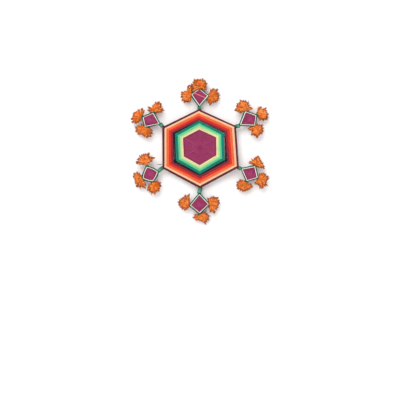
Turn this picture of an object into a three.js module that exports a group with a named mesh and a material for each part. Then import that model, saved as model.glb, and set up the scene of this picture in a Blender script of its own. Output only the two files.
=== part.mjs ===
import * as THREE from 'three';

// A six-armed ojo de dios: three long sticks crossed and wound with yarn, and a small wound eye
// with three yarn tufts on the end of every arm.
// It is built in a face frame, x to the right, y up and z towards the viewer, with the wall at z = 0.
// The exported group stands that face upright: front to -Y, up to +Z, origin where the part hangs.

// Driving sizes, in millimetres and degrees.
const CLEARANCE = 0.3; // between pieces that touch

const STICK_D = 1.8; // the three long sticks
const CROSS_STICK_D = 1.6; // the short stick at the end of each arm
const WALL_TO_REAR_STICK = 4.8; // from the wall to the axis of the rearmost stick

const PAIR = { width: 1.58, depth: 1 }; // two yarns side by side, in the large eye and its ring
const YARN = { width: 0.9, depth: 0.9 }; // a yarn by itself, in the small eyes and the black round
const STRAND_GAP = 0.45; // between one round and the next, square to the yarn
const CORE_GAP = 0.62; // the same in the tight rounds of a core
const CORE_START = 2.2; // reach of the first round of the large eye
const DOME = { flat: 4, foot: 14 }; // reach where the rounds leave the front stick's level, and end to
const HITCH_RISE = 0.8; // beside a stick, where a strand comes up from behind it
const EYE_START = 0.9; // reach of the first round of a small eye
const EYE_INNER = 1.15; // reach of its rounds towards the ring, over that along the cross stick
const EYE_OUTER = 0.85; // the same towards the end of the arm
const EYE_DOME = { flat: 1.5, foot: 6 };

const TUFT_GRIP = 2.5; // how far a tuft is tied over its stick
const TUFT_WALL = 0.9; // of the tied neck, round the stick
const TUFT_R = 7.2; // at the widest, across the face
const TUFT_DEPTH = 0.66; // depth over width, because the tufts are pressed flat
const TUFT_REACH = 19.4; // from the middle of a small eye to the end of a tuft on its cross stick
const END_TUFT_REACH = 18.2; // the same to the tuft on the end of the arm
const TOP_TUFT_REACH = 16.4; // which is cut shorter on the top arm
const LOBE_DEPTH = 0.26; // of the ragged rim, over its radius
const LOBE_RISE = 1.1; // of the rim's points, along the tuft

const SIDE_ANGLE = 29; // of the two slanted sticks, from the horizontal
const SIDE_NECK = 2.7; // bound stretch of a slanted arm, between the ring and its small eye
const TOP_NECK = 2.3;
const BOTTOM_NECK = 3.8;
const TOP_SCALE = 0.905; // reach of a round on the top arm, over that on a slanted arm
const BOTTOM_SCALE = 0.955;

// Counts.
const STICK_SIDES = 12;
const PAIR_SIDES = 6;
const YARN_SIDES = 4;
const TURN_STEPS = 8; // round a stick
const SHOULDER_SHARE = 0.3; // most of a span that may lie flat on a stick's crown
const TUFT_SEGMENTS = 12;
const TUFT_RINGS = 4; // from the neck of a tuft to its end
const TUFT_LOBES = 6;
const CORE_ROUNDS = 6;
const EYE_ROUNDS = 2.5;
const TOP_EYE_ROUNDS = 2.25;
const BOTTOM_EYE_ROUNDS = 2.75;

const COLOURS = {
  wood: '#c9a571',
  plum: '#9a3d68',
  cream: '#f0dcae',
  lime: '#cfe09c',
  mint: '#6ecb9b',
  teal: '#1f8a6f',
  black: '#23292b',
  wine: '#96303c',
  red: '#dc3a30',
  orange: '#f4774a',
  peach: '#f6c596',
  maroon: '#6e3438',
  tuft: '#f57a22',
};

// The bands round the core from the inside out, each one round of a yarn of its own.
const BANDS = [
  { name: 'eye_band_cream', colour: 'cream' },
  { name: 'eye_band_lime', colour: 'lime' },
  { name: 'eye_band_mint', colour: 'mint' },
  { name: 'eye_band_teal', colour: 'teal' },
  { name: 'gap_round_black', colour: 'black', yarn: YARN },
  { name: 'ring_band_wine', colour: 'wine' },
  { name: 'ring_band_red', colour: 'red' },
  { name: 'ring_band_orange', colour: 'orange' },
  { name: 'ring_band_peach', colour: 'peach' },
  { name: 'ring_band_maroon', colour: 'maroon' },
].map((band) => ({ yarn: PAIR, ...band }));

// Clockwise from the bottom, as the yarn is wound. A stick's level counts from the wall.
const ARMS = [
  {
    name: 'bottom',
    degrees: -90,
    level: 0,
    neck: BOTTOM_NECK,
    scale: BOTTOM_SCALE,
    eyeRounds: BOTTOM_EYE_ROUNDS,
  },
  { name: 'lower_left', degrees: 180 + SIDE_ANGLE, level: 1 },
  { name: 'upper_left', degrees: 180 - SIDE_ANGLE, level: 2 },
  {
    name: 'top',
    degrees: 90,
    level: 0,
    neck: TOP_NECK,
    scale: TOP_SCALE,
    eyeRounds: TOP_EYE_ROUNDS,
    tuftReach: TOP_TUFT_REACH,
  },
  { name: 'upper_right', degrees: SIDE_ANGLE, level: 1 },
  { name: 'lower_right', degrees: -SIDE_ANGLE, level: 2 },
].map((arm) => ({ neck: SIDE_NECK, scale: 1, eyeRounds: EYE_ROUNDS, tuftReach: END_TUFT_REACH, ...arm }));

const STICKS = [
  { name: 'long_stick_vertical', from: 'bottom', to: 'top' },
  { name: 'long_stick_rising', from: 'lower_left', to: 'upper_right' },
  { name: 'long_stick_falling', from: 'lower_right', to: 'upper_left' },
];

// Sizes worked out from those above.
const STICK_R = STICK_D / 2;
const CROSS_R = CROSS_STICK_D / 2;
const LEVEL_PITCH = STICK_D + CLEARANCE;
const TOP_LEVEL = 2;
const COIL_PITCH = YARN.width + STRAND_GAP;

const stickAxis = (level) => WALL_TO_REAR_STICK + level * LEVEL_PITCH;
const armNamed = (name) => ARMS.find((arm) => arm.name === name);
const polar = (angle, reach) => new THREE.Vector3(Math.cos(angle), Math.sin(angle), 0).multiplyScalar(reach);

// The four ways from the middle of a small eye, clockwise from the ring, with x along the arm.
const EYE_WAYS = [
  { angle: Math.PI, scale: EYE_INNER },
  { angle: Math.PI / 2, scale: 1 },
  { angle: 0, scale: EYE_OUTER },
  { angle: -Math.PI / 2, scale: 1 },
];

// Square distance between rounds, over their distance along a spoke of scale 1, where it is least.
function leastSpread(spokes) {
  const spread = spokes.map((spoke, i) => {
    const next = spokes[(i + 1) % spokes.length];
    const a = polar(spoke.angle, spoke.scale);
    const b = polar(next.angle, next.scale);
    return a.clone().cross(b).length() / a.distanceTo(b);
  });
  return Math.min(...spread);
}

const EYE_PITCH = COIL_PITCH / leastSpread(EYE_WAYS);
const EYE_CORE_PITCH = (YARN.width + CORE_GAP) / leastSpread(EYE_WAYS);

for (const arm of ARMS) {
  arm.angle = THREE.MathUtils.degToRad(arm.degrees);
  arm.axis = stickAxis(arm.level);
  // The cross stick lies before the arm, except on the front stick, where it lies behind.
  const side = arm.level === TOP_LEVEL ? -1 : 1;
  arm.crossAxis = arm.axis + side * (STICK_R + CLEARANCE + CROSS_R);
  // From the middle of the small eye: where its windings end, and the tips of its sticks.
  arm.coreEnd = EYE_START + arm.eyeRounds * EYE_CORE_PITCH;
  arm.borderEnd = arm.coreEnd + EYE_PITCH;
  arm.bindingEnd = arm.borderEnd + EYE_PITCH;
  arm.neckStart = arm.bindingEnd * EYE_INNER;
  arm.tipAt = arm.bindingEnd * EYE_OUTER + CLEARANCE + TUFT_GRIP;
  arm.crossTipAt = arm.bindingEnd + CLEARANCE + TUFT_GRIP;
}

const FACE_PITCH = (PAIR.width + STRAND_GAP) / leastSpread(ARMS);
const CORE_PITCH = (PAIR.width + CORE_GAP) / leastSpread(ARMS);
const CORE_EDGE = CORE_START + CORE_ROUNDS * CORE_PITCH;

// Where each band starts, along a slanted stick.
let lastYarn = PAIR;
let bandEdge = CORE_EDGE - FACE_PITCH;
for (const band of BANDS) {
  const width = (lastYarn.width + band.yarn.width) / 2;
  bandEdge += (width + STRAND_GAP) / leastSpread(ARMS);
  band.edge = bandEdge;
  lastYarn = band.yarn;
}
const RING_EDGE = bandEdge + FACE_PITCH;

// From the crossing of the sticks to the middle of each small eye.
for (const arm of ARMS) arm.eyeAt = RING_EDGE * arm.scale + arm.neck + arm.neckStart;

// From a stick's surface to the middle of a strand that lies on it.
const seat = (yarn) => CLEARANCE + yarn.depth / 2;

// From a stick's axis to the corners of a strand's line round it.
const swingOf = (radius, yarn) => (radius + seat(yarn)) / Math.cos(Math.PI / TURN_STEPS);

// What a strand crosses: a stick's direction, heights and radius in the face frame.
const faceSpokes = ARMS.map(({ angle, axis, scale }) => ({ angle, axis, scale, radius: STICK_R }));

function eyeSpokes(arm) {
  const along = { axis: arm.axis, radius: STICK_R };
  const across = { axis: arm.crossAxis, radius: CROSS_R };
  return EYE_WAYS.map((way, i) => ({ ...way, ...(i % 2 ? across : along) }));
}

// The start of a strand: half a turn behind a stick, then up to the level of its crown beside it.
function hitchPoints(yarn, spoke, point, height, back, out) {
  const swing = swingOf(spoke.radius, yarn);
  const radial = polar(spoke.angle, 1);
  const beside = (way, lateral) => {
    const slant = way.clone().normalize();
    return point.clone().addScaledVector(slant, lateral / slant.clone().cross(radial).length());
  };
  const points = [];
  for (let step = 0; step <= TURN_STEPS / 2; step++) {
    const turn = (2 * Math.PI * step) / TURN_STEPS;
    const lateral = swing * Math.cos(turn);
    const place = lateral > 0 ? beside(back, lateral) : beside(out, -lateral);
    points.push(place.setZ(spoke.axis - swing * Math.sin(turn)));
  }
  points.push(beside(out, swing + HITCH_RISE).setZ(height));
  return points;
}

// The middle line of a strand wound over the spokes in turn, from one crossing to another.
function woundPath({ yarn, spokes, first, pitch, from = 0, to, dome, hitched, tail }) {
  const front = Math.max(...spokes.map((spoke) => spoke.axis + spoke.radius));
  const at = (n) => {
    const spoke = spokes[THREE.MathUtils.euclideanModulo(n, spokes.length)];
    const reach = (first + (pitch * n) / spokes.length) * spoke.scale;
    const crown = spoke.axis + spoke.radius;
    const fall = dome ? THREE.MathUtils.smoothstep(reach, dome.flat, dome.foot) : 1;
    const height = front + (crown - front) * fall + seat(yarn);
    return { spoke, point: polar(spoke.angle, reach), height };
  };
  const points = [];
  for (let n = from; n <= to; n++) {
    const { spoke, point, height } = at(n);
    const radial = polar(spoke.angle, 1);
    const [back, out] = [at(n - 1), at(n + 1)].map((end) => end.point.sub(point));
    const shoulder = (way) => {
      const square = way.clone().cross(radial).length();
      const share = Math.min(spoke.radius / square, SHOULDER_SHARE);
      return point.clone().addScaledVector(way, share).setZ(height);
    };
    const apex = point.clone().setZ(height);
    if (n === from && hitched) points.push(...hitchPoints(yarn, spoke, point, height, back, out));
    else if (n === from) points.push(apex, shoulder(out));
    else if (n < to) points.push(shoulder(back), apex, shoulder(out));
    else if (tail) points.push(shoulder(back), apex);
  }
  return points;
}

// A coil round the part of an arm that lies along -x, over distances from the middle of its eye.
function coilPath(axis, radius, from, to) {
  const swing = swingOf(radius, YARN);
  const turns = Math.floor((to - from) / COIL_PITCH);
  const points = [];
  for (let step = 0; step <= turns * TURN_STEPS; step++) {
    const turn = Math.PI / 2 - (2 * Math.PI * step) / TURN_STEPS;
    const away = from + (COIL_PITCH * step) / TURN_STEPS;
    points.push(new THREE.Vector3(-away, swing * Math.cos(turn), axis + swing * Math.sin(turn)));
  }
  return points;
}

// Rings of a strand's section along its line, each on the plane that halves its bend.
function strandRings(points, yarn, sides) {
  const ways = points.slice(1).map((point, i) => point.clone().sub(points[i]).normalize());
  const across = new THREE.Vector3(0, 0, 1).cross(ways[0]).normalize();
  return points.map((point, i) => {
    const arriving = ways[Math.max(i - 1, 0)];
    const leaving = ways[Math.min(i, ways.length - 1)];
    const mitre = arriving.clone().add(leaving).normalize();
    const up = arriving.clone().cross(across);
    const ring = [];
    for (let k = 0; k < sides; k++) {
      const turn = (2 * Math.PI * k) / sides;
      const rim = across.clone().multiplyScalar((yarn.width / 2) * Math.cos(turn));
      rim.addScaledVector(up, (yarn.depth / 2) * Math.sin(turn));
      rim.addScaledVector(arriving, -rim.dot(mitre) / arriving.dot(mitre));
      ring.push(rim.add(point));
    }
    across.applyQuaternion(new THREE.Quaternion().setFromUnitVectors(arriving, leaving));
    return ring;
  });
}

// A closed tube through the rings.
function tubeGeometry(rings) {
  const sides = rings[0].length;
  const faces = [];
  for (let i = 0; i + 1 < rings.length; i++) {
    for (let k = 0; k < sides; k++) {
      const a = i * sides + k;
      const b = i * sides + ((k + 1) % sides);
      faces.push(a, b, b + sides, a, b + sides, a + sides);
    }
  }
  const last = (rings.length - 1) * sides;
  for (let k = 1; k + 1 < sides; k++) {
    faces.push(0, k + 1, k, last, last + k, last + k + 1);
  }
  const geometry = new THREE.BufferGeometry().setFromPoints(rings.flat());
  geometry.setIndex(faces);
  return geometry;
}

// The least free gap of a tube to itself, on points along its edges that are some way apart on it.
function leastSelfGap(rings) {
  const SAMPLE = 0.5;
  const NEIGHBOUR = 5;
  const samples = [];
  let travelled = 0;
  for (let i = 0; i + 1 < rings.length; i++) {
    const length = rings[i][0].distanceTo(rings[i + 1][0]);
    const steps = Math.ceil(length / SAMPLE);
    for (let step = 0; step < steps; step++) {
      const share = step / steps;
      const ring = rings[i].map((rim, k) => rim.clone().lerp(rings[i + 1][k], share));
      samples.push({ travelled: travelled + share * length, ring });
    }
    travelled += length;
  }
  let least = Infinity;
  samples.forEach((a, i) => {
    for (const b of samples.slice(i + 1)) {
      if (b.travelled - a.travelled < NEIGHBOUR) continue;
      for (const p of a.ring) {
        for (const q of b.ring) least = Math.min(least, p.distanceToSquared(q));
      }
    }
  });
  return Math.sqrt(least);
}

const selfGaps = [];

function piece(name, geometry, colour, roughness) {
  const material = new THREE.MeshStandardMaterial({ color: COLOURS[colour], roughness, metalness: 0 });
  const mesh = new THREE.Mesh(geometry, material);
  mesh.name = name;
  return mesh;
}

function strand(name, points, colour, yarn) {
  const rings = strandRings(points, yarn, yarn === PAIR ? PAIR_SIDES : YARN_SIDES);
  selfGaps.push(leastSelfGap(rings));
  return piece(name, tubeGeometry(rings), colour, 0.95);
}

function stick(name, diameter, length) {
  const geometry = new THREE.CylinderGeometry(diameter / 2, diameter / 2, length, STICK_SIDES);
  return piece(name, geometry, 'wood', 0.7);
}

// A tuft along +y, bored for its stick, whose tip is at y = 0. Its head is a ragged ellipsoid.
function tuft(name, stickRadius, length) {
  const bore = stickRadius + CLEARANCE;
  const neck = bore + TUFT_WALL;
  const outline = [
    new THREE.Vector2(0, CLEARANCE),
    new THREE.Vector2(bore, CLEARANCE),
    new THREE.Vector2(bore, -TUFT_GRIP),
    new THREE.Vector2(neck, -TUFT_GRIP),
  ];
  const halfHead = (length + TUFT_GRIP) / 2;
  for (let ring = 1; ring <= TUFT_RINGS; ring++) {
    const turn = (Math.PI * ring) / TUFT_RINGS;
    const radius = ring < TUFT_RINGS ? TUFT_R * Math.sin(turn) : 0;
    outline.push(new THREE.Vector2(radius, length - halfHead * (1 + Math.cos(turn))));
  }
  const geometry = new THREE.LatheGeometry(outline, TUFT_SEGMENTS);
  const places = geometry.getAttribute('position');
  for (let i = 0; i < places.count; i++) {
    const [x, y, z] = [places.getX(i), places.getY(i), places.getZ(i)];
    if (Math.hypot(x, z) <= neck + CLEARANCE) continue;
    // Points and hollows take turns round the rim.
    const hollow = 0.5 - 0.5 * Math.cos(TUFT_LOBES * Math.atan2(z, x));
    const lobe = 1 - LOBE_DEPTH * hollow;
    places.setXYZ(i, x * lobe, y - LOBE_RISE * (hollow - 0.5), z * lobe * TUFT_DEPTH);
  }
  return piece(name, geometry, 'tuft', 1);
}

function buildSticks() {
  const group = new THREE.Group();
  for (const { name, from, to } of STICKS) {
    const { angle, axis } = armNamed(to);
    const [back, out] = [armNamed(from), armNamed(to)].map((arm) => arm.eyeAt + arm.tipAt);
    const mesh = stick(name, STICK_D, back + out);
    mesh.position.copy(polar(angle, (out - back) / 2)).setZ(axis);
    mesh.rotation.z = angle - Math.PI / 2;
    group.add(mesh);
  }
  return group;
}

// The wound face. The core ends, and each band starts, where the yarn comes to the bottom arm.
function buildFace() {
  const group = new THREE.Group();
  const wind = (name, colour, yarn, more) => {
    const path = woundPath({ yarn, spokes: faceSpokes, tail: true, ...more });
    group.add(strand(name, path, colour, yarn));
  };
  const from = -Math.round(CORE_ROUNDS * faceSpokes.length);
  wind('eye_core_plum', 'plum', PAIR, { first: CORE_EDGE, pitch: CORE_PITCH, from, to: 0, dome: DOME });
  for (const { name, colour, yarn, edge } of BANDS) {
    wind(name, colour, yarn, { first: edge, pitch: FACE_PITCH, to: faceSpokes.length, hitched: true });
  }
  return group;
}

// The end of an arm, with its small eye in the middle and x along the arm.
function buildArm(arm) {
  const group = new THREE.Group();
  group.position.copy(polar(arm.angle, arm.eyeAt));
  group.rotation.z = arm.angle;

  const cross = stick(`cross_stick_${arm.name}`, CROSS_STICK_D, 2 * arm.crossTipAt);
  cross.position.z = arm.crossAxis;

  const spokes = eyeSpokes(arm);
  const wind = (first, more) => woundPath({ yarn: YARN, spokes, first, ...more });
  const from = -Math.round(arm.eyeRounds * spokes.length);
  const round = { pitch: EYE_PITCH, to: spokes.length, hitched: true };
  const core = wind(arm.coreEnd, { pitch: EYE_CORE_PITCH, from, to: 0, dome: EYE_DOME, tail: true });
  const border = wind(arm.coreEnd, { ...round, tail: true });
  const binding = wind(arm.borderEnd, round);
  const coilEnd = arm.neckStart + arm.neck - YARN.width;
  binding.push(...coilPath(arm.axis, STICK_R, arm.neckStart, coilEnd));
  group.add(
    cross,
    strand(`small_core_${arm.name}`, core, 'plum', YARN),
    strand(`small_border_${arm.name}`, border, 'cream', YARN),
    strand(`arm_binding_${arm.name}`, binding, 'teal', YARN),
  );

  const end = { axis: arm.axis, radius: STICK_R, reach: arm.tuftReach, tip: arm.tipAt };
  const aside = { axis: arm.crossAxis, radius: CROSS_R, reach: TUFT_REACH, tip: arm.crossTipAt };
  const tufts = [
    { side: 'outer', turn: 0, ...end },
    { side: 'left', turn: Math.PI / 2, ...aside },
    { side: 'right', turn: -Math.PI / 2, ...aside },
  ];
  for (const { side, turn, axis, radius, reach, tip } of tufts) {
    const mesh = tuft(`tuft_${arm.name}_${side}`, radius, reach - tip);
    mesh.position.copy(polar(turn, tip)).setZ(axis);
    mesh.rotation.z = turn - Math.PI / 2;
    group.add(mesh);
  }
  return group;
}

const face = new THREE.Group();
face.add(buildSticks(), buildFace(), ...ARMS.map(buildArm));

// The part hangs by the middle of the bound stretch of the top arm.
const top = armNamed('top');
const hangAt = RING_EDGE * top.scale + top.neck / 2;
face.rotation.x = Math.PI / 2;
face.position.set(0, top.axis, -hangAt);

console.log(`least gap of a strand to itself: ${Math.min(...selfGaps).toFixed(3)} mm`);
console.log(`crossing of the sticks below the hanging point: ${hangAt.toFixed(2)} mm`);

const part = new THREE.Group();
part.name = 'ojo_de_dios';
part.add(face);

export default part;
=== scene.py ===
"""A six-armed ojo de dios hung on a white wall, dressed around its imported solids.

Yarn lines are worked out in the face frame, in millimetres: x to the right, y up from the
crossing of the sticks, and h out of the wall from the axis of the rearmost stick.
"""

import math
import random

import bpy
import numpy as np
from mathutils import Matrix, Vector


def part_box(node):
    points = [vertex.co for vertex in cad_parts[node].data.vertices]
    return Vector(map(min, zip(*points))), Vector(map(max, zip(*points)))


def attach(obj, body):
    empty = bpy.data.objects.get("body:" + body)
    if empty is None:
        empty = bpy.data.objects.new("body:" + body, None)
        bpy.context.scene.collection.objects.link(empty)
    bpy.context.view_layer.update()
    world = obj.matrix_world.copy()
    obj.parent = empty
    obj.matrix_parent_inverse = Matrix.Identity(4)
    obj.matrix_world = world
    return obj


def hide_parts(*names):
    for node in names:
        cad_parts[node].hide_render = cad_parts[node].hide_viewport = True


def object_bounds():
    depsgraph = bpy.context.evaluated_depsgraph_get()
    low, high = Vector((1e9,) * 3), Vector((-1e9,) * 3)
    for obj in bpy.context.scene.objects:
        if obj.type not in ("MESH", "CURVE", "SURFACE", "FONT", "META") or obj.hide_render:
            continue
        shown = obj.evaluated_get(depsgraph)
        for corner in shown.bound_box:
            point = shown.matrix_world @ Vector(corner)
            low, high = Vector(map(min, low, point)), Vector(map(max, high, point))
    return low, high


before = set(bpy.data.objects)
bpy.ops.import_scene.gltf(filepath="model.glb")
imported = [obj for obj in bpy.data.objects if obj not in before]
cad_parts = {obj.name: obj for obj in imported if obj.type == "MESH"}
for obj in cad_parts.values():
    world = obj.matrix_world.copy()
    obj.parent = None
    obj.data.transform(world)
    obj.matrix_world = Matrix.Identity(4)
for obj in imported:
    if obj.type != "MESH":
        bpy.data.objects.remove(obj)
cad_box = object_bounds()

MM = 0.001
TAU = 2 * math.pi
GOLDEN_TURN = TAU * 0.381966

# Yarn and sticks, in millimetres.
RING_STEP = 0.42  # between the rings of a yarn's mesh
YARN_SIDES = 8
PLY_DEPTH = 0.12  # of the groove between the two plies, over the yarn's radius
LAY = 3.4  # length in which the plies turn once
EASING = 2  # times that the corners of a yarn's line are eased
ASKEW = (0.31, 0.17, 0.94)  # a direction in which no yarn starts
DOUBLE = 1e-6  # least distance of two points that aren't the same
WRAP_STEPS = 12  # round a stick
BEND = 0.05  # share of a turn, to each side of the crown, where the yarn only bends over a stick
BOW_STEPS = (0.25, 0.5, 0.75)  # places of a loose yarn's points on its way from stick to stick
HAND = 0.05  # spread of a yarn's place, because it is wound by hand
STICK_SIDES = 20
STICK_STEP = 0.9  # between the rings of a stick's mesh
STICK_POINTS = 41  # along its line
STICK_WOBBLE = 0.08
STICK_SWAYS = 1.7  # bends of a stick up and down, for each one to the side
STICK_EASE = 0.7  # length of a stick's eased end, over its radius
STICK_FLAT = 0.08  # area left at the very end, over the stick's

# The large eye and its ring: reach along a slanted stick.
CORE_START = 0.35
CORE_EDGE = 18.45
CORE_ROUNDS = 15
EYE_EDGE = 27.7
# The black round starts here: a dark yarn that fills the gap between the large eye and the ring as a
# painted shadow.
GAP_SHADOW_START = 27.95
RING_START = 29.6
MAROON_START = 39.92
RING_EDGE = 42.5
BAND_ROUNDS = 2
PACKED = 0.93  # a yarn's diameter over the pitch of its rounds along a slanted stick
DOME = (4.0, 16.0)  # reach where the rounds leave the front stick's level, and end to
FIRST_WRAP = 3.4  # least reach at which the yarn goes round behind a stick

# Dark marks on the plum core: its last round darker, and painted shade, as of dips, in a line along two
# sticks and in a dimple below the crossing.
LAST_ROUND_BLEND = 0.005  # share of the yarn in which its last round turns dark
SHADE_LINED_ARMS = ("bottom", "lower_right")
LINE_PAINTED_SHADE = 0.6
LINE_WIDTH = 0.9
LINE_ENDS = (9.0, 3.0)  # reach where a line is gone, and up to which it is whole
DIMPLE_PAINTED_SHADE = 0.7
DIMPLE_BELOW = 2.2
DIMPLE_WIDTH = 1.8

# A loose end of the maroon yarn beside the lower left arm: right of and above the crossing, and out from
# the crown of that arm's stick. Its girth, over the yarn's, and how much of that it loses.
LOOSE_END = ((-37.6, -17.0, 0), (-39.4, -17.6, 0), (-41.4, -17.5, -1), (-43.4, -16.9, -2))
LOOSE_GIRTH = 0.6
LOOSE_TAPER = 0.25

# The small eyes: usual reach from the crossing of the sticks of each.
EYE_START = 0.2
EYE_CORE = 7.0
EYE_ROUNDS = 7
BORDER_PITCH = 1.05
BINDING_PITCH = 1.4
BINDING_YARN = 0.65  # radius
EYE_YARN = 0.5  # radius
COIL_PITCH = 1.0
EYE_DOME = (1.5, 6.0)
EYE_FIRST_WRAP = 2.4
EYE_SLACK = {"lower_left": 0.14}  # bow of a loosely wound eye's yarn, over its distance from the middle

# Shades of their yarns.
EYE_SHADE = 0.6
EYE_RIM_PAINTED_SHADE = 0.8  # painted shade on a core's last round, where it meets the cream border
EYE_LAST_BLEND = 0.04  # share of the yarn in which it turns dark
GREEN_SHADE = 0.6
NECK_PALE = 0.3  # share of pale green down the arm
NECK_HIGHLIGHT = 0.4  # and more of it about a place on the way: a painted highlight
NECK_HIGHLIGHT_AT = 0.25
NECK_HIGHLIGHT_WIDTH = 0.2

# A loose coral end across the top arm's eye: right of, above and out from its middle.
CORAL_END = ((-5.8, 1.8, -0.6), (-2.2, 0.3, 0), (1.5, -1.2, 0), (5.3, -2.8, -0.7))
CORAL_YARN = 0.52  # radius
CORAL_LIES = 3  # before the front of the sticks, over the radius of the yarn under it

# Yarns side by side aslant over a crossing of sticks.
LASHINGS = 5
LASH_REACH = 3.2
EYE_LASH_REACH = 2.5
LASH_LEVEL = 0.6  # share of a lashing that lies level, before its ends turn inwards
LASH_BACK = 0.5  # depth of the first layer behind the sticks, over the radius of the yarn

# Tufts.
TUFT_STRANDS = 150
TUFT_YARN = 0.5  # radius of a tuft's yarn
TUFT_GIRTH = 0.8  # of its root, over that radius
TUFT_SWELL = 0.45  # more at its tip
TUFT_SIDES = 6
TUFT_STEP = 0.9  # between the rings of its mesh
TUFT_POINTS = 8  # along its bend
TUFT_ARCH = 0.6  # place of the bend on the way from the root to the tuft's heart
TUFT_OPEN = 0.3  # of the yarn's own way out of the heart, at the bend
TUFT_DEEP = 3.6  # half the depth of a tuft, because they are pressed flat
TUFT_BACK = -0.75  # how far round to the back the yarns go, from 1 at the front to -1
NOTCH = 0.06  # of a rim between two points, over its radius
FINGERS = 15  # bunches into which a tuft's yarns gather
FINGER_REACH = (0.94, 1.14)  # least and most, over the rim's radius
STRAND_REACH = (0.92, 1.06)  # least and most, over its bunch's
GATHER = 0.65  # width of a bunch, over even spacing
RIM_SPREAD = (0.72, 0.97)  # share of the full width where a yarn starts to be of the rim, and is
RIM_TIP = (0.72, 0.95)  # share of its length where such a yarn starts to be dark, and is
FRAYS = 2  # thin ends into which the yarns of a rim open
FRAY_FROM = 0.2  # least of a yarn's share in the rim
FRAY_RADIUS = 0.22
FRAY_TAPER = 0.5
FRAY_SIDES = 4
FRAY_STEP = 0.5
FRAY_INSIDE = 0.5  # length hidden in the yarn
FRAY_LENGTHS = (0.5, 1.2)
FRAY_STRAY = 0.35
FLECKS = 0.18  # share of a tuft's yarns that lie in shade, and how dark they are
FLECK = 0.55
TUFT_LIFT = {("top", "outer"): 1.6}  # how far a tuft that lies over its eye's green yarn stands out
WALL_CLEAR = 0.2

# One yarn of the top arm's left tuft stands out of it in a loop. Places are right of, above and out from
# the middle of the arm's eye, and its turn is in radians.
LOOP_ROOT = (-11.5, 3.5, 0.5)
LOOP_MIDDLE = (-10.1, 7.6, 1.0)
LOOP_RADII = (1.5, 1.7)
LOOP_TURN = (-1.9, 5.2)
LOOP_POINTS = 18
LOOP_GIRTH = 1.5  # over a tuft yarn's
LOOP_SHADE = 0.1

# The picture: one pixel is one millimetre at the crossing.
FRAME_WIDTH = 400.0
CROSSING_ABOVE_MIDDLE = 52.9
CAMERA_AWAY = 1200.0
SENSOR = 36.0
FLOOR_BELOW = 0.62  # depth of the floor below the picture's middle, over the picture's width

# The stage and the light, in metres and watts.
STAGE_HALF = 1.6
LAMP_SIZE = 1.6
LAMP_POWER = 24
LAMP_FROM = (-0.4, -1.5, 1.0)  # its place, from the crossing
EVEN_LIGHT = 0.6  # strength of the world, where 1 is white

# How fast the noise of each finish changes round a piece, and per millimetre along it.
FIBRES = (2.2, 0.35)
GRAIN = (3.0, 0.06)
PORES = (9.0, 0.5)
DYE_ALONG = 0.11
DYE_APART = 31  # from yarn to yarn
DYE_LOT = 0.5  # weight of a yarn's own shade, beside that of the clouds along it
PLY_SHADE = 0.4  # of the groove between the plies
FIBRE_SHADE = 0.3  # between the fibres
FIBRE_RELIEF = 0.7  # share of the fibres in a yarn's relief, where the plies have the rest
YARN_RELIEF = 0.00012  # depth, in metres
GRAIN_TONES = (0.72, 1.08)  # darkest and lightest grain, over the colour of the wood
PORE_TONE = 0.45
PORE_SHADE = 0.5
WOOD_RELIEF = 0.00008

# Colours as they look, in sRGB.
PLUM = (152, 57, 98)
PLUM_EDGE = (122, 50, 64)
CREAM = (236, 214, 168)
PALE_CREAM = (254, 245, 226)
LIME = (174, 208, 142)
MINT = (102, 198, 146)
TEAL = (20, 132, 112)
GAP_SHADOW = (30, 36, 40)
WINE = (138, 47, 59)
RED = (216, 48, 41)
ORANGE = (245, 117, 68)
PEACH = (238, 193, 154)
MAROON = (100, 40, 52)
GREEN = (14, 92, 77)
PALE_GREEN = (128, 206, 172)
MARIGOLD = (255, 122, 24)
PALE_MARIGOLD = (255, 172, 98)
TUFT_RIM = (116, 54, 22)
CORAL = (248, 122, 128)
WOOD = (206, 172, 122)
WALL = (252, 252, 252)

# Each band's colour, and its width over the usual in its group.
EYE_BANDS = {"cream": (CREAM, 0.85), "lime": (LIME, 0.78), "mint": (MINT, 1.12), "teal": (TEAL, 1.25)}
# The black round is a painted shadow: a dark yarn in the gap between the large eye and the ring.
GAP_SHADOW_BANDS = {"black": (GAP_SHADOW, 1.0)}
RING_BANDS = {"wine": (WINE, 1.0), "red": (RED, 1.0), "orange": (ORANGE, 1.08), "peach": (PEACH, 0.92),
              "maroon": (MAROON, 1.0)}
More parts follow.
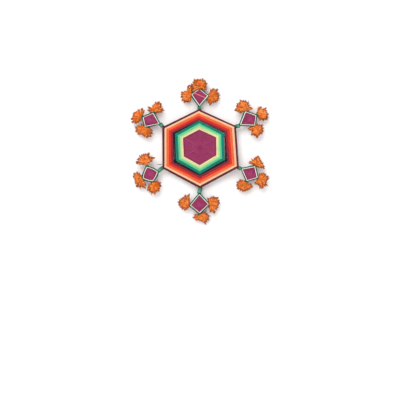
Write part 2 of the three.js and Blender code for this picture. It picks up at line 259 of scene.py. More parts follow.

# Each arm's stick, and its direction over the face in degrees.
# edges: its reach at the end of the core, the end of the large eye, the black round (a painted shadow in
# the gap before the ring), and the start, last band and edge of the ring.
# nudge: how far the middle of its small eye lies right of and above its place in the even pattern.
# crossing: how far that eye's sticks cross right of and above the middle.
# leans: of the long stick there off the arm's direction, and of the cross stick off square, in degrees.
# eye_reaches: of the eye's core towards the ring, right, out and left.
ARM_SHAPES = {
    "bottom": dict(
        stick="long_stick_vertical", angle=270.7, edges=(17.9, 26.7, 27.0, 28.2, 38.5, 41.1),
        nudge=(-0.5, 0.0), crossing=(-0.3, 0.0), leans=(0, 1), eye_reaches=(9.5, 8.5, 8.0, 9.0)),
    "lower_right": dict(
        stick="long_stick_falling", angle=331.8, edges=(18.4, 27.9, 28.3, 31.1, 41.8, 43.9),
        nudge=(0.3, 0.6), crossing=(-0.3, 0.2), leans=(-1, -2), eye_reaches=(9.0, 7.0, 7.0, 8.5)),
    "upper_right": dict(
        stick="long_stick_rising", angle=29.9, edges=(19.2, 27.4, 29.0, 29.4, 40.0, 41.6),
        nudge=(0.1, 0.3), crossing=(-0.3, -0.5), leans=(0, 2), eye_reaches=(10.5, 7.0, 6.5, 8.5)),
    "top": dict(
        stick="long_stick_vertical", angle=91.0, edges=(17.9, 27.0, 27.0, 26.9, 36.4, 38.0),
        nudge=(-0.5, -0.4), crossing=(0.1, -0.4), leans=(-1, -6), eye_reaches=(9.5, 8.0, 6.0, 7.5)),
    "upper_left": dict(
        stick="long_stick_falling", angle=151.6, edges=(19.3, 27.9, 28.5, 30.6, 40.2, 42.8),
        nudge=(-0.3, 0.1), crossing=(0.0, -0.8), leans=(7, -11), eye_reaches=(10.0, 7.5, 6.0, 7.5)),
    "lower_left": dict(
        stick="long_stick_rising", angle=209.0, edges=(19.0, 27.5, 28.0, 31.1, 41.2, 43.2),
        nudge=(0.2, 0.3), crossing=(0.4, 0.2), leans=(-6, -3), eye_reaches=(7.0, 7.5, 7.5, 6.5)),
}

# The points of each tuft's rim and the hollows between them, right of and above the middle of its eye.
TUFT_SHAPES = {
    ("top", "outer"): [
        (-6, 15), (2, 16), (6, 14), (7, 11), (6.5, 5), (0.5, 6), (-7, 3), (-8, 8.5)],
    ("top", "left"): [
        (-17.5, 2.5), (-13, 4), (-11.5, 8), (-8, 8), (-7, 3), (-7, 0), (-9, -7.5), (-13, -8),
        (-17.5, -5.5), (-18, -1.5)],
    ("top", "right"): [
        (12, 6), (17.5, 5.5), (19.5, -0.5), (18.5, -6), (14, -7.5), (10, -10.5), (7, -5), (8.7, 0)],
    ("bottom", "outer"): [
        (-7, -13.5), (-4.5, -9.5), (0, -10), (6, -7.5), (9.3, -11.5), (9, -15.5), (6, -19), (2, -16),
        (-3.5, -15)],
    ("bottom", "left"): [
        (7.5, 6), (13.5, 8.7), (19, 6), (20, 1), (18, -2), (15, -8), (9, -7.5), (9.8, -1)],
    ("bottom", "right"): [
        (-14, 9), (-10.5, 9.7), (-9.7, 4), (-9, -3), (-16, -5), (-19, -3.8), (-21, 2.5), (-19.5, 5.5)],
    ("upper_right", "outer"): [
        (7, 11.5), (10.7, 12), (12.6, 9.3), (15, 10.6), (17, 5), (17, 1), (14, -2), (9.3, -0.7),
        (7, 4.5)],
    ("upper_right", "left"): [
        (-10, 17.7), (-6, 18), (-3, 16.5), (1.3, 9.7), (-4, 8), (-11, 5.8), (-16, 8), (-14, 13.4)],
    ("upper_right", "right"): [
        (-2.4, -10), (3.3, -7), (7, -5.7), (11, -6), (13, -9.5), (12.4, -14), (6.5, -18),
        (-1, -15.7), (2, -13)],
    ("lower_right", "outer"): [
        (8, 1), (13.7, 1.8), (18, -3), (14.6, -7.6), (16, -10.6), (9, -14), (8.4, -10.6),
        (4, -8.5), (7, -4)],
    ("lower_right", "left"): [
        (6, 18), (8, 17.7), (9.3, 14), (13, 9), (12.8, 5.6), (6, 8), (-0.8, 11), (-0.2, 13.4)],
    ("lower_right", "right"): [
        (-10, -4.8), (-5, -7.5), (-1, -9.5), (1.3, -12), (0.5, -14.6), (-7, -17), (-13.4, -14),
        (-15, -9.3)],
    ("lower_left", "outer"): [
        (-12.4, 3.6), (-9.3, 0), (-6.4, -4.5), (-2.7, -11), (-4, -13.4), (-13.5, -11.8),
        (-14.6, -5.4), (-17, -1), (-14.8, 1)],
    ("lower_left", "left"): [
        (2.7, -7.8), (7, -6.5), (10, -7.6), (11, -12.4), (9, -16), (4.5, -18.7), (1, -18),
        (-2.4, -15), (-1, -10)],
    ("lower_left", "right"): [
        (-9.6, 19), (-6, 20.7), (-0.6, 21), (0.5, 18), (5, 17), (1.5, 13), (-6, 10), (-12.6, 10),
        (-12.8, 14.4)],
    ("upper_left", "outer"): [
        (-4.4, 9.5), (-7, 10.8), (-15, 6.4), (-17.4, 0.4), (-16.8, -2.8), (-13, -4.4), (-9, -1.6),
        (-6.7, 3)],
    ("upper_left", "left"): [
        (-13, -6.6), (-13.6, -11.6), (-10.5, -16.5), (-7.3, -15), (-3, -19), (1.6, -17), (2.8, -11.6),
        (0, -9.6), (-5.5, -5.4)],
    ("upper_left", "right"): [
        (-0.5, 13), (-1.6, 9), (2, 5.8), (7, 5.8), (14.7, 7.7), (11.8, 14.5), (10.4, 17), (6.5, 16),
        (3.4, 12)],
}
TUFT_SPOKES = {"right": 1, "outer": 2, "left": 3}  # places in the order of a small eye's winding


def linear(colour, gain=1.0):
    """The scene's own colour of an sRGB one, times a gain."""
    def channel(c):
        c /= 255
        return c / 12.92 if c <= 0.04045 else ((c + 0.055) / 1.055) ** 2.4
    return [min(1.0, channel(c) * gain) for c in colour] + [1.0]


def smoothstep(x, low, high):
    """From 0 at low to 1 at high, with a soft start and stop."""
    t = min(1.0, max(0.0, (x - low) / (high - low)))
    return t * t * (3 - 2 * t)


# Places read from the frame.

def middle(node):
    """The middle of a solid's box."""
    low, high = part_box(node)
    return (low + high) / 2


CROSSING = middle("long_stick_rising")
WALL_HEIGHT = -cad_box[1].y / MM


def to_world(points):
    """Metres in the part's frame, from millimetres in the face frame."""
    p = np.asarray(points, float)
    return np.stack([CROSSING.x + p[:, 0] * MM, -p[:, 2] * MM, CROSSING.z + p[:, 1] * MM], 1)


def height_of(node):
    """How far a stick's axis lies out of the wall, from that of the rearmost one."""
    return -middle(node).y / MM


def radius_of(node):
    """A stick's radius."""
    low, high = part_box(node)
    return (high.y - low.y) / 2 / MM


def heading(degrees):
    """The direction at an angle, counter-clockwise from the right."""
    return np.array([math.cos(math.radians(degrees)), math.sin(math.radians(degrees))])


class Spoke:
    """Half a stick, from the middle of an eye outwards."""

    def __init__(self, way, height, radius, reaches=((0.0, 1.0), (0.0, 1.0))):
        self.out = np.asarray(way) / np.linalg.norm(way)
        self.on = np.array([-self.out[1], self.out[0]])  # the way the yarn goes, counter-clockwise
        self.height, self.radius, self.reaches = height, radius, reaches

    def at(self, reach):
        """The reach here of a round, from its usual one. The usual reach goes on past the last given."""
        usual, here = self.reaches
        if reach > usual[-1]:
            return here[-1] + reach - usual[-1]
        return float(np.interp(reach, usual, here))


class Arm:
    """An arm's directions and the places of its sticks, in the face frame."""

    def __init__(self, name, stick, angle, edges, nudge, crossing, leans, eye_reaches):
        self.name, self.stick = name, stick
        cross = f"cross_stick_{name}"
        even = (middle(cross) - CROSSING) / MM
        self.eye = np.array([even.x, even.z]) + nudge
        self.crossing = self.eye + crossing
        self.height, self.cross_height = height_of(stick), height_of(cross)
        self.radius, self.cross_radius = radius_of(stick), radius_of(cross)
        low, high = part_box(cross)
        self.cross_tip = math.hypot(high.x - low.x, high.z - low.z) / 2 / MM
        low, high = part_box(stick)
        far = [max(low[k] - CROSSING[k], high[k] - CROSSING[k], key=lambda v: v * even[k])
               for k in (0, 2)]
        self.tip = (math.hypot(*far) - math.hypot(even.x * MM, even.z * MM)) / MM - self.radius
        usual = (0.0, CORE_EDGE, EYE_EDGE, GAP_SHADOW_START, RING_START, MAROON_START, RING_EDGE)
        self.spoke = Spoke(heading(angle), self.height, self.radius, (usual, (0.0, *edges)))
        self.ring_corner = edges[-1] * self.spoke.out
        # The half sticks that the small eye's yarn crosses, counter-clockwise from the side of the ring.
        out = heading(angle + leans[0])
        left = heading(angle + leans[0] + 90 + leans[1])
        along, across = (self.height, self.radius), (self.cross_height, self.cross_radius)
        halves = zip((-out, -left, out, left), (along, across, along, across), eye_reaches)
        self.eye_spokes = [Spoke(way, *level, ((0.0, EYE_CORE), (0.0, reach)))
                           for way, level, reach in halves]


ARMS = {name: Arm(name, **shape) for name, shape in ARM_SHAPES.items()}


# Lines of yarn in the face frame.

class Winding:
    """A yarn wound over spokes in turn, once round each stick and on to the next."""

    def __init__(self, spokes, yarn, dome, first_wrap, seed, middle_at=(0.0, 0.0), slack=0.0):
        self.spokes, self.yarn, self.dome, self.first_wrap = spokes, yarn, dome, first_wrap
        self.slack = slack
        self.middle_at = np.array(middle_at)
        self.front = max(s.height + s.radius for s in spokes)
        self.back = min(s.height - s.radius for s in spokes)
        self.random = random.Random(seed)
        self.points = []
        self.starts = []  # places in it of the first points of the rounds

    def place(self, spoke, reach, turn):
        """A point of the loop round a stick: a turn of 0 is its crown, and half a turn its back."""
        here = spoke.at(reach)
        crown = spoke.height + spoke.radius
        top = self.front + (crown - self.front) * smoothstep(here, *self.dome) + self.yarn
        low = spoke.height - spoke.radius - self.yarn
        side = (spoke.radius + self.yarn) * math.sin(TAU * turn)
        flat = self.middle_at + here * spoke.out + side * spoke.on
        return [*flat, (top + low) / 2 + (top - low) / 2 * math.cos(TAU * turn)]

    def loop(self, spoke, reach, pitch, start=0.0, end=1.0):
        """Part of the loop round a stick, on which the yarn moves half a pitch outwards."""
        steps = max(1, round(WRAP_STEPS * (end - start)))
        for i in range(steps + 1):
            turn = start + (end - start) * i / steps
            self.points.append(self.place(spoke, reach + pitch * turn / 2, turn))

    def bow(self, spoke, reach):
        """The way of loose yarn to the next stick, bowed outwards."""
        start, end = np.array(self.points[-1]), np.array(self.place(spoke, reach, 0.0))
        outwards = (start[:2] + end[:2]) / 2 - self.middle_at
        for t in BOW_STEPS:
            between = start + t * (end - start)
            between[:2] += self.slack * 4 * t * (1 - t) * outwards
            self.points.append(between.tolist())

    def wind(self, first, pitch, rounds, opened=True, closed=True):
        """Whole rounds. An opened winding starts behind its first stick, and a closed one ends there."""
        count = len(self.spokes)
        for n in range(rounds * count + 1):
            spoke = self.spokes[n % count]
            if n % count == 0 and n < rounds * count:
                self.starts.append(len(self.points))
            reach = max(0.0, first + pitch * (n // count) + self.random.gauss(0, HAND))
            if n > 0 and self.slack > 0:
                self.bow(spoke, reach)
            if n == 0 and opened:
                self.loop(spoke, reach, pitch, 0.5, 1.0)
            elif n == rounds * count and closed:
                self.loop(spoke, reach, pitch, 0.0, 0.5)
            elif reach < self.first_wrap:
                self.points.append(self.place(spoke, reach, -BEND))
                self.points.append(self.place(spoke, reach + pitch / 2, BEND))
            else:
                self.loop(spoke, reach, pitch)
        return self

    def last_round(self):
        """The share of the yarn's length at which its last round starts."""
        along = lengths_along(self.points)
        return along[self.starts[-1]] / along[-1]

    def coil(self, spoke, start, stop, pitch):
        """Turns along a stick."""
        turns = (stop - start) / pitch
        steps = max(1, round(WRAP_STEPS * turns))
        for i in range(steps + 1):
            turn = turns * i / steps
            self.points.append(self.place(spoke, start + pitch * turn, turn))


def lengths_along(points):
    """The distance of each point along the line."""
    return np.concatenate([[0], np.cumsum(np.linalg.norm(np.diff(points, axis=0), axis=1))])


def resample(points, step):
    """Points along a line at even steps, with its corners eased."""
    p = np.asarray(points, float)
    p = p[np.concatenate([[True], np.linalg.norm(np.diff(p, axis=0), axis=1) > DOUBLE])]
    at = lengths_along(p)
    even = np.linspace(0, at[-1], max(3, int(round(at[-1] / step)) + 1))
    line = np.stack([np.interp(even, at, p[:, k]) for k in range(3)], 1)
    for _ in range(EASING):
        line[1:-1] = (line[:-2] + 2 * line[1:-1] + line[2:]) / 4
    return line


def carried_frames(line):
    """Two directions square to the line and to each other, that turn no more than they must."""
    tangents = np.gradient(line, axis=0)
    tangents /= np.linalg.norm(tangents, axis=1)[:, None]
    normals = np.empty_like(line)
    normal = np.cross(tangents[0], ASKEW)
    for i, tangent in enumerate(tangents):
        normal = normal - normal.dot(tangent) * tangent
        normal = normal / np.linalg.norm(normal)
        normals[i] = normal
    return normals, np.cross(tangents, normals)


class Skein:
    """Strands that become one piece's mesh."""

    def __init__(self):
        self.points, self.faces, self.lay, self.dye = [], [], [], []
        self.count = 0

    def strand(self, points, radius, sides=YARN_SIDES, step=RING_STEP, ply=PLY_DEPTH,
               shade=0.5, tint=0.0):
        """A closed tube. Radius, shade and tint are numbers, or functions of the share of its length."""
        line = resample(points, step)
        share = np.linspace(0, 1, len(line))
        girth, shades, tints = (
            np.array([f(t) for t in share]) if callable(f) else np.full(len(line), float(f))
            for f in (radius, shade, tint))
        normals, binormals = carried_frames(line)
        along = lengths_along(line)
        around = np.arange(sides) * TAU / sides
        phase = around[None, :] - (along * TAU / LAY)[:, None]
        rim = girth[:, None] * (1 - ply + 2 * ply * np.cos(phase) ** 2)
        rings = (line[:, None, :]
                 + (rim * np.cos(around))[..., None] * normals[:, None, :]
                 + (rim * np.sin(around))[..., None] * binormals[:, None, :])
        self.points.append(rings.reshape(-1, 3))
        lay = np.stack([np.cos(phase), np.sin(phase), np.repeat(along[:, None], sides, 1)], 2)
        self.lay.append(lay.reshape(-1, 3))
        self.dye.append(np.repeat(np.stack([shades, tints, np.zeros_like(share)], 1), sides, 0))
        ring = self.count + np.arange(len(line) - 1)[:, None] * sides
        here = np.arange(sides)[None, :]
        there = (here + 1) % sides
        quads = np.stack([ring + here, ring + there, ring + sides + there, ring + sides + here], 2)
        self.faces.extend(quads.reshape(-1, 4).tolist())
        last = self.count + (len(line) - 1) * sides
        self.faces.append([self.count + k for k in reversed(range(sides))])
        self.faces.append([last + k for k in range(sides)])
        self.count += len(line) * sides

    def piece(self, name, finish, slot, node):
        """The mesh as a piece of the object, in place of its solid."""
        mesh = bpy.data.meshes.new(name)
        mesh.from_pydata(to_world(np.concatenate(self.points)).tolist(), [], self.faces)
        for attribute, values in (("lay", self.lay), ("dye", self.dye)):
            layer = mesh.attributes.new(attribute, "FLOAT_VECTOR", "POINT")
            layer.data.foreach_set("vector", np.concatenate(values).astype(np.float32).ravel())
        mesh.shade_smooth()
        mesh.materials.append(finish)
        obj = bpy.data.objects.new(name, mesh)
        bpy.context.scene.collection.objects.link(obj)
        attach(obj, "root")
        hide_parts(node)


# Finishes.

# Places of the colour sockets on a Mix node, whose names its other sockets share.
MIX_SHARE, MIX_FIRST, MIX_SECOND, MIX_RESULT = 0, 6, 7, 2


class Value:
    """A number that changes over a surface."""

    def __init__(self, finish, socket):
        self.finish, self.socket = finish, socket

    def _math(self, operation, *terms):
        node = self.finish.node("ShaderNodeMath", {"operation": operation}, dict(enumerate(terms)))
        return Value(self.finish, node.outputs[0])

    def __add__(self, other):
        return self._math("ADD", self, other)

    __radd__ = __add__

    def __sub__(self, other):
        return self._math("SUBTRACT", self, other)

    def __rsub__(self, other):
        return self._math("SUBTRACT", other, self)

    def __mul__(self, other):
        return self._math("MULTIPLY", self, other)

    __rmul__ = __mul__


class Finish:
    """A material or a world made of nodes."""

    def __init__(self, owner):
        self.owner = owner
        owner.use_nodes = True
        self.tree = owner.node_tree
        self.tree.nodes.clear()

    def node(self, kind, settings=None, sockets=None):
        """A node with its settings, then the values or links of its sockets."""
        made = self.tree.nodes.new(kind)
        for name, value in (settings or {}).items():
            setattr(made, name, value)
        for name, value in (sockets or {}).items():
            socket = made.inputs[name]
            value = getattr(value, "socket", value)
            if isinstance(value, bpy.types.NodeSocket):
                self.tree.links.new(value, socket)
            else:
                socket.default_value = value
        return made

    def attribute(self, name):
        """The three values of a mesh's attribute."""
        read = self.node("ShaderNodeAttribute", {"attribute_name": name})
        split = self.node("ShaderNodeSeparateXYZ", None, {0: read.outputs["Vector"]})
        return [Value(self, socket) for socket in split.outputs]

    def streaks(self, pace, scale, detail):
        """Noise drawn out along the piece, at its pace round the piece and along it."""
        across, side, along = self.attribute("lay")
        return self.noise(across * pace[0], side * pace[0], along * pace[1], scale, detail)

    def noise(self, x, y, z, scale, detail):
        """Clouds over three values."""
        place = self.node("ShaderNodeCombineXYZ", None, {0: x, 1: y, 2: z})
        sockets = {"Vector": place.outputs[0], "Scale": scale, "Detail": detail}
        return Value(self, self.node("ShaderNodeTexNoise", None, sockets).outputs["Fac"])

    def spread(self, value, low, high):
        """The value with low to high spread over 0 to 1."""
        sockets = {"Value": value, "From Min": low, "From Max": high}
        return Value(self, self.node("ShaderNodeMapRange", {"clamp": True}, sockets).outputs[0])

    def mix(self, share, first, second):
        """A colour between two."""
        sockets = {MIX_SHARE: share, MIX_FIRST: first, MIX_SECOND: second}
        return self.node("ShaderNodeMix", {"data_type": "RGBA"}, sockets).outputs[MIX_RESULT]

    def surface(self, sockets, relief, strength, depth):
        """The shader of the surface, with a relief."""
        raised = {"Height": relief, "Strength": strength, "Distance": depth}
        bump = self.node("ShaderNodeBump", None, raised)
        sockets = {**sockets, "Normal": bump.outputs[0]}
        shader = self.node("ShaderNodeBsdfPrincipled", None, sockets)
        self.node("ShaderNodeOutputMaterial", None, {"Surface": shader.outputs[0]})
        return self.owner


def yarn_finish(name, colour, tinted=None, pale=None, uneven=0.12, groove=0.5):
    """Two-ply yarn: fibres along the plies, a shaded groove between them and uneven dye."""
    f = Finish(bpy.data.materials.new(name))
    across, _, along = f.attribute("lay")
    shade, tint, _ = f.attribute("dye")
    fibres = f.streaks(FIBRES, scale=2.6, detail=3.0)
    clouds = f.noise(shade * DYE_APART, 0.0, along * DYE_ALONG, scale=1.0, detail=1.0)
    ridge = across * across
    cast = f.spread(clouds + (shade - 0.5) * DYE_LOT, low=0.3, high=0.7)
    bright = linear(pale) if pale else linear(colour, 1 + uneven)
    body = f.mix(cast, linear(colour, 1 - uneven), bright)
    if tinted:
        body = f.mix(tint, body, linear(tinted))
    between_plies = f.spread(1 - ridge, low=0.6, high=1.0)
    between_fibres = f.spread(fibres, low=0.6, high=0.3)
    deep = between_plies * PLY_SHADE + between_fibres * FIBRE_SHADE
    body = f.mix(deep, body, linear(colour, groove))
    sockets = {"Base Color": body, "Roughness": 0.9, "Specular IOR Level": 0.1,
               "Sheen Weight": 0.04, "Sheen Roughness": 0.5}
    relief = fibres * FIBRE_RELIEF + ridge * (1 - FIBRE_RELIEF)
    return f.surface(sockets, relief, strength=0.5, depth=YARN_RELIEF)


def wood_finish(name, colour):
    """A smooth round stick, with grain along it."""
    f = Finish(bpy.data.materials.new(name))
    grain = f.streaks(GRAIN, scale=2.0, detail=4.0)
    pores = f.streaks(PORES, scale=2.0, detail=2.0)
    dark, light = (linear(colour, tone) for tone in GRAIN_TONES)
    body = f.mix(f.spread(grain, low=0.3, high=0.7), dark, light)
    in_pores = f.spread(pores, low=0.6, high=0.8)
    body = f.mix(in_pores * PORE_SHADE, body, linear(colour, PORE_TONE))
    sockets = {"Base Color": body, "Roughness": 0.55 + grain * 0.2, "Specular IOR Level": 0.35}
    return f.surface(sockets, grain * 0.6 + pores * 0.4, strength=0.25, depth=WOOD_RELIEF)


BANDS = {**EYE_BANDS, **GAP_SHADOW_BANDS, **RING_BANDS}
YARNS = {name: yarn_finish(f"yarn_{name}", colour) for name, (colour, _) in BANDS.items()}
PLUM_YARN = yarn_finish("yarn_plum", PLUM, tinted=PLUM_EDGE)
SMALL_PLUM_YARN = yarn_finish("yarn_plum_small", PLUM, tinted=CORAL, uneven=0.35)
GREEN_YARN = yarn_finish("yarn_green", GREEN, tinted=PALE_GREEN, uneven=0.5)
PALE_YARN = yarn_finish("yarn_cream_small", PALE_CREAM)
TUFT_FINISH = yarn_finish("tuft_yarn", MARIGOLD, tinted=TUFT_RIM, pale=PALE_MARIGOLD,
                          uneven=0.2, groove=0.74)
STICK_FINISH = wood_finish("stick_wood", WOOD)


# Pieces.

def make_stick(node, line, radius):
    """A round stick with eased ends and a slow small sway."""
    rng = random.Random(node)
    start, end = rng.uniform(0, TAU), rng.uniform(0, TAU)
    t = np.linspace(0, 1, STICK_POINTS)
    line = np.asarray(line)
    corners = lengths_along(line) / lengths_along(line)[-1]
    straight = np.stack([np.interp(t, corners, line[:, k]) for k in range(3)], 1)
    sideways, upwards = np.sin(TAU * t + start), np.sin(TAU * STICK_SWAYS * t + end)
    sway = np.stack([sideways, upwards, np.cos(TAU * t + end)], 1)
    points = straight + STICK_WOBBLE * sway
    length = lengths_along(points)[-1]

    def girth(share):
        """Its radius along the stick."""
        edge = min(share, 1 - share) * length
        eased = max(0.0, 1 - edge / (radius * STICK_EASE))
        return radius * math.sqrt(max(STICK_FLAT, 1 - eased ** 2))

    skein = Skein()
    skein.strand(points, girth, sides=STICK_SIDES, step=STICK_STEP, ply=0.0, shade=rng.random())
    skein.piece(f"round_{node}", STICK_FINISH, "stick_wood", node)


def make_sticks():
    """The cross sticks, and the long sticks, which bend a little where the yarn pulls them."""
    halves = {}
    for name, arm in ARMS.items():
        inner, right, out, left = arm.eye_spokes
        neck = arm.crossing + inner.out * inner.at(EYE_CORE + BORDER_PITCH + BINDING_PITCH)
        half = [(0.0, 0.0), arm.ring_corner, neck, arm.crossing + out.out * (arm.tip - STICK_WOBBLE)]
        halves.setdefault(arm.stick, []).append([(*place, arm.height) for place in half])
        ends = [arm.crossing + side.out * (arm.cross_tip - STICK_WOBBLE) for side in (right, left)]
        line = [(*place, arm.cross_height) for place in ends]
        make_stick(f"cross_stick_{name}", line, arm.cross_radius)
    for node, (first, second) in halves.items():
        make_stick(node, [*reversed(first), *second[1:]], radius_of(node))


def lash(skein, winding, first, second, height, reach, shade):
    """Yarns side by side over the crossing of a winding's sticks, aslant between two of its spokes."""
    way = first.out + second.out
    way = way / np.linalg.norm(way)
    aside = np.array([-way[1], way[0]])
    inwards = winding.yarn if height < winding.front else -winding.yarn
    for k in range(LASHINGS):
        at = winding.middle_at + (k - (LASHINGS - 1) / 2) * 2 * winding.yarn * aside
        line = []
        for s in (-1, -LASH_LEVEL, LASH_LEVEL, 1):
            turned = inwards * 2 * max(0, abs(s) - LASH_LEVEL)
            line.append((*(at + s * reach * way), height + turned))
        skein.strand(line, winding.yarn, shade=shade)


def lash_back(skein, winding, reach, shade):
    """Layers of yarn over the back of the crossing, each aslant between the next two spokes."""
    for k in range(len(winding.spokes) // 2):
        height = winding.back - (LASH_BACK + k) * winding.yarn
        lash(skein, winding, *winding.spokes[k:k + 2], height, reach, shade)


def make_face():
    """The plum core, the bands round it, the black round that paints the shadow in the gap before the
    ring, and the bands of the ring.
    """
    spokes = [arm.spoke for arm in ARMS.values()]

    def wound(node, edges, rounds, opened=True):
        """A yarn wound over all the arms, from one reach to another."""
        pitch = (edges[1] - edges[0]) / rounds
        yarn = max(pitch, (EYE_EDGE - CORE_EDGE) / len(EYE_BANDS) / BAND_ROUNDS) * PACKED / 2
        return Winding(spokes, yarn, DOME, FIRST_WRAP, node).wind(edges[0], pitch, rounds, opened)

    core = wound("eye_core_plum", (CORE_START, CORE_EDGE), CORE_ROUNDS, False)
    line = np.array(core.points)
    share = lengths_along(line) / lengths_along(line)[-1]
    last_round = core.last_round()

    def tint(t):
        """Painted shade along two sticks and in a dimple below the crossing, and darker on the last
        round.
        """
        place = np.array([np.interp(t, share, line[:, k]) for k in (0, 1)])
        dark = smoothstep(t, last_round - LAST_ROUND_BLEND, last_round + LAST_ROUND_BLEND)
        for name in SHADE_LINED_ARMS:
            spoke = ARMS[name].spoke
            along, aside = place @ spoke.out, place @ spoke.on
            if along > 0:
                painted_line_shade = LINE_PAINTED_SHADE * math.exp(-(aside / LINE_WIDTH) ** 2)
                dark = max(dark, painted_line_shade * smoothstep(along, *LINE_ENDS))
        off = np.hypot(place[0], place[1] + DIMPLE_BELOW)
        return max(dark, DIMPLE_PAINTED_SHADE * math.exp(-(off / DIMPLE_WIDTH) ** 2))

    skein = Skein()
    shade = random.Random("eye_core_plum").random()
    skein.strand(core.points, core.yarn, shade=shade, tint=tint)
    lash_back(skein, core, LASH_REACH, shade)
    skein.piece("yarn_eye_core_plum", PLUM_YARN, "yarn_plum", "eye_core_plum")

    def band(node, slot, finish, edges):
        """One yarn's rounds as a piece, with the loose end of the last one."""
        winding = wound(node, edges, BAND_ROUNDS)
        skein = Skein()
        skein.strand(winding.points, winding.yarn, shade=random.Random(node).random())
        if node == "ring_band_maroon":
            spoke = ARMS["lower_left"].spoke
            crown = spoke.height + spoke.radius
            loose = [(x, y, crown + out) for x, y, out in LOOSE_END]
            skein.strand(loose, lambda t: winding.yarn * (LOOSE_GIRTH - LOOSE_TAPER * t))
        skein.piece(f"yarn_{node}", finish, slot, node)

    groups = (
        ("eye_band", EYE_BANDS, CORE_EDGE, EYE_EDGE),
        # The black round paints the shadow in the gap between the large eye and the ring.
        ("gap_round", GAP_SHADOW_BANDS, GAP_SHADOW_START, RING_START),
        ("ring_band", RING_BANDS, RING_START, RING_EDGE),
    )
    for group, bands, start, end in groups:
        width = (end - start) / sum(share for _, share in bands.values())
        edge = start
        for name, (_, share) in bands.items():
            band(f"{group}_{name}", f"yarn_{name}", YARNS[name], (edge, edge + width * share))
            edge += width * share


def make_small_eye(arm):
    """The plum core, its cream border, and the green yarn that goes round it and binds the arm."""
    spokes = arm.eye_spokes

    def winding(kind, yarn=EYE_YARN):
        """A yarn for the sticks of this eye."""
        slack = EYE_SLACK.get(arm.name, 0.0)
        return Winding(spokes, yarn, EYE_DOME, EYE_FIRST_WRAP, f"{kind}_{arm.name}", arm.crossing, slack)

    def finish(kind, skein, material, slot):
        """The skein as one of this eye's pieces."""
        skein.piece(f"yarn_{kind}_{arm.name}", material, slot, f"{kind}_{arm.name}")

    shade = random.Random(arm.name).random()
    pitch = (EYE_CORE - EYE_START) / EYE_ROUNDS
    core = winding("small_core").wind(EYE_START, pitch, EYE_ROUNDS, opened=False)
    skein = Skein()
    last_round = core.last_round()

    def painted_rim_shade(t):
        """Painted shade on the last round, where the core meets its border."""
        return EYE_SHADE - EYE_RIM_PAINTED_SHADE * smoothstep(t, last_round, last_round + EYE_LAST_BLEND)

    skein.strand(core.points, core.yarn, shade=painted_rim_shade)
    lash(skein, core, *spokes[0:2], core.front, EYE_LASH_REACH, shade)
    lash_back(skein, core, EYE_LASH_REACH, shade)
    if arm.name == "top":
        front = core.front + CORAL_LIES * core.yarn
        across = [(*(arm.eye + (x, y)), front + out) for x, y, out in CORAL_END]
        skein.strand(across, CORAL_YARN, shade=shade, tint=1.0)
    finish("small_core", skein, SMALL_PLUM_YARN, "yarn_plum")

    border = winding("small_border").wind(EYE_CORE, BORDER_PITCH, 1)
    skein = Skein()
    skein.strand(border.points, border.yarn, shade=shade)
    finish("small_border", skein, PALE_YARN, "yarn_cream")

    binding = winding("arm_binding", BINDING_YARN)
    binding.wind(EYE_CORE + BORDER_PITCH, BINDING_PITCH, 1, closed=False)
    eye_length = lengths_along(binding.points)[-1]
    leaving = spokes[0].out * spokes[0].at(EYE_CORE + BORDER_PITCH + BINDING_PITCH)
    neck = arm.ring_corner - arm.crossing - leaving
    binding.middle_at = arm.crossing + leaving
    stop = max(np.hypot(*neck), COIL_PITCH)
    binding.coil(Spoke(neck, arm.height, arm.radius), 0.0, stop, COIL_PITCH)
    turning = eye_length / lengths_along(binding.points)[-1]

    def pale(t):
        """Paler down the arm, most near the eye, where a painted highlight lies."""
        down_arm = (t - turning) / (1 - turning)
        if down_arm < 0:
            return 0.0
        off = (down_arm - NECK_HIGHLIGHT_AT) / NECK_HIGHLIGHT_WIDTH
        return NECK_PALE + NECK_HIGHLIGHT * math.exp(-off ** 2)

    skein = Skein()
    skein.strand(binding.points, binding.yarn, shade=GREEN_SHADE, tint=pale)
    finish("arm_binding", skein, GREEN_YARN, "yarn_teal")


def rim_radius(points, spin):
    """How far a rim through points round the origin is in a direction, with a notch between each two."""
    way = np.array([math.cos(spin), math.sin(spin)])
    ahead = [(math.atan2(p[1], p[0]) - spin) % TAU for p in points]
    a, b = points[int(np.argmax(ahead))], points[int(np.argmin(ahead))]
    chord = b - a
    radius = (a[0] * b[1] - a[1] * b[0]) / (way[0] * chord[1] - way[1] * chord[0])
    share = np.linalg.norm(radius * way - a) / np.linalg.norm(chord)
    return radius * (1 - NOTCH * math.sin(math.pi * min(1.0, share)))


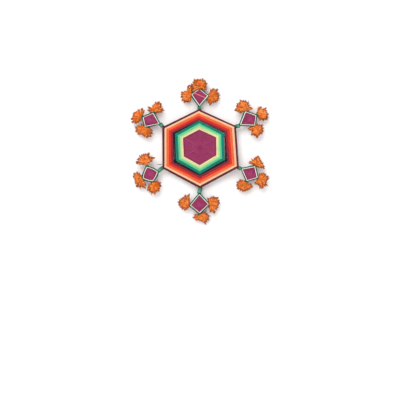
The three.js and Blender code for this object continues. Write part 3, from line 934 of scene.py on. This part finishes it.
def make_tuft(arm, side):
    """Yarns tied at the end of a stick and fluffed out into a flat ball, with a ragged rim."""
    node = f"tuft_{arm.name}_{side}"
    rng = random.Random(node)
    spoke = arm.eye_spokes[TUFT_SPOKES[side]]
    root = arm.crossing - arm.eye + spoke.out * spoke.at(EYE_CORE + BORDER_PITCH + BINDING_PITCH)
    root = np.array([*root, 0])
    points = np.array(TUFT_SHAPES[arm.name, side], float)
    heart = np.array([*points.mean(0), TUFT_LIFT.get((arm.name, side), 0)])
    rim_points = points - heart[:2]
    base = np.array([*arm.eye, spoke.height])
    girth = spoke.radius + TUFT_YARN / 2
    fingers = [rng.uniform(*FINGER_REACH) for _ in range(FINGERS)]

    def placed(line, clear):
        """The line in the face frame, kept clear of the wall."""
        out = base + np.asarray(line)
        out[:, 2] = np.maximum(out[:, 2], WALL_HEIGHT + clear)
        return out

    skein = Skein()
    for i in range(TUFT_STRANDS):
        up = 1 + (TUFT_BACK - 1) * (i + 0.5) / TUFT_STRANDS
        turn = i * GOLDEN_TURN % TAU * FINGERS / TAU
        finger = int(turn)
        spin = (finger + 0.5 + GATHER * (turn - finger - 0.5)) * TAU / FINGERS
        flat = math.sqrt(1 - up * up)
        reach = flat * fingers[finger] * rim_radius(rim_points, spin)
        way = np.array([reach * math.cos(spin), reach * math.sin(spin), TUFT_DEEP * up])
        end = heart + way * rng.uniform(*STRAND_REACH)
        bend = (1 - TUFT_ARCH) * root + TUFT_ARCH * heart + TUFT_OPEN * way
        tied = root + girth * np.array([*(math.cos(spin) * spoke.on), up])
        line = [(1 - t) ** 2 * tied + 2 * t * (1 - t) * bend + t * t * end
                for t in np.linspace(0, 1, TUFT_POINTS)]
        rim = smoothstep(flat, *RIM_SPREAD)
        shade = rng.random()
        fleck = FLECK if rng.random() < FLECKS else 0.0
        skein.strand(
            placed(line, TUFT_YARN), lambda t: TUFT_YARN * (TUFT_GIRTH + TUFT_SWELL * t),
            sides=TUFT_SIDES, step=TUFT_STEP, shade=shade,
            tint=lambda t: max(fleck, rim * smoothstep(t, *RIM_TIP)))
        for _ in range(FRAYS if rim > FRAY_FROM else 0):
            onwards = (line[-1] - line[-2]) / np.linalg.norm(line[-1] - line[-2])
            aside = np.array([rng.gauss(0, FRAY_STRAY) for _ in range(3)])
            length = rng.uniform(*FRAY_LENGTHS)
            fray = [end - onwards * FRAY_INSIDE,
                    end + (onwards + aside / 2) * length / 2,
                    end + (onwards + aside) * length]
            skein.strand(
                placed(fray, FRAY_RADIUS), lambda t: FRAY_RADIUS * (1 - FRAY_TAPER * t),
                sides=FRAY_SIDES, step=FRAY_STEP, shade=shade, tint=rim)
    if (arm.name, side) == ("top", "left"):
        x, y, out = LOOP_MIDDLE
        wide, tall = LOOP_RADII
        loop = [(x + wide * math.cos(t), y + tall * math.sin(t), out)
                for t in np.linspace(*LOOP_TURN, LOOP_POINTS)]
        skein.strand(placed([LOOP_ROOT, *loop], TUFT_YARN), LOOP_GIRTH * TUFT_YARN,
                     shade=LOOP_SHADE, tint=1.0)
    skein.piece(f"yarn_{node}", TUFT_FINISH, "tuft_yarn", node)


make_sticks()
make_face()
for each in ARMS.values():
    make_small_eye(each)
    for way in TUFT_SPOKES:
        make_tuft(each, way)


# Stage, light and camera.

def make_stage():
    """A pale wall behind the part, seen from its front only, and a pale floor below the picture."""
    half = STAGE_HALF
    wall_at = cad_box[1].y + WALL_CLEAR * MM
    floor_at = CROSSING.z - (CROSSING_ABOVE_MIDDLE + FRAME_WIDTH * FLOOR_BELOW) * MM
    f = Finish(bpy.data.materials.new("pale_wall"))
    paint = f.node("ShaderNodeBsdfDiffuse", None, {"Color": linear(WALL)})
    clear = f.node("ShaderNodeBsdfTransparent")
    behind = f.node("ShaderNodeNewGeometry").outputs["Backfacing"]
    both = f.node("ShaderNodeMixShader", None, {0: behind, 1: paint.outputs[0], 2: clear.outputs[0]})
    f.node("ShaderNodeOutputMaterial", None, {"Surface": both.outputs[0]})
    foot = [(-half, wall_at, floor_at), (half, wall_at, floor_at)]
    sheets = {
        "wall": [*foot, (half, wall_at, half), (-half, wall_at, half)],
        "floor": [(-half, -2 * half, floor_at), (half, -2 * half, floor_at), *reversed(foot)],
    }
    for name, corners in sheets.items():
        mesh = bpy.data.meshes.new(name)
        mesh.from_pydata(corners, [], [(0, 1, 2, 3)])
        mesh.materials.append(f.owner)
        obj = bpy.data.objects.new(name, mesh)
        bpy.context.scene.collection.objects.link(obj)


def aim(obj, place, target):
    """Links an object into the scene, at a place and looking at a target."""
    bpy.context.scene.collection.objects.link(obj)
    obj.location = place
    obj.rotation_euler = (target - place).to_track_quat("-Z", "Y").to_euler()


def make_light():
    """Even light from all round, and a wide lamp high on the left."""
    world = bpy.data.worlds.new("studio")
    bpy.context.scene.world = world
    f = Finish(world)
    seen = f.node("ShaderNodeLightPath").outputs["Is Camera Ray"]
    even = f.node("ShaderNodeBackground", None, {"Color": (1, 1, 1, 1), "Strength": EVEN_LIGHT})
    white = f.node("ShaderNodeBackground", None, {"Color": (1, 1, 1, 1), "Strength": 1.0})
    both = f.node("ShaderNodeMixShader", None, {0: seen, 1: even.outputs[0], 2: white.outputs[0]})
    f.node("ShaderNodeOutputWorld", None, {"Surface": both.outputs[0]})
    lamp = bpy.data.lights.new("window", "AREA")
    lamp.shape = "DISK"
    lamp.size = LAMP_SIZE
    lamp.energy = LAMP_POWER
    aim(bpy.data.objects.new("window", lamp), CROSSING + Vector(LAMP_FROM), CROSSING)


def make_camera():
    """A camera square to the wall, as the photograph was taken."""
    data = bpy.data.cameras.new("camera")
    data.sensor_width = SENSOR
    data.lens = SENSOR * CAMERA_AWAY / FRAME_WIDTH
    camera = bpy.data.objects.new("camera", data)
    target = CROSSING - Vector((0, 0, CROSSING_ABOVE_MIDDLE * MM))
    aim(camera, target - Vector((0, CAMERA_AWAY * MM, 0)), target)
    bpy.context.scene.camera = camera
    bpy.context.scene.view_settings.view_transform = "Standard"


make_stage()
make_light()
make_camera()
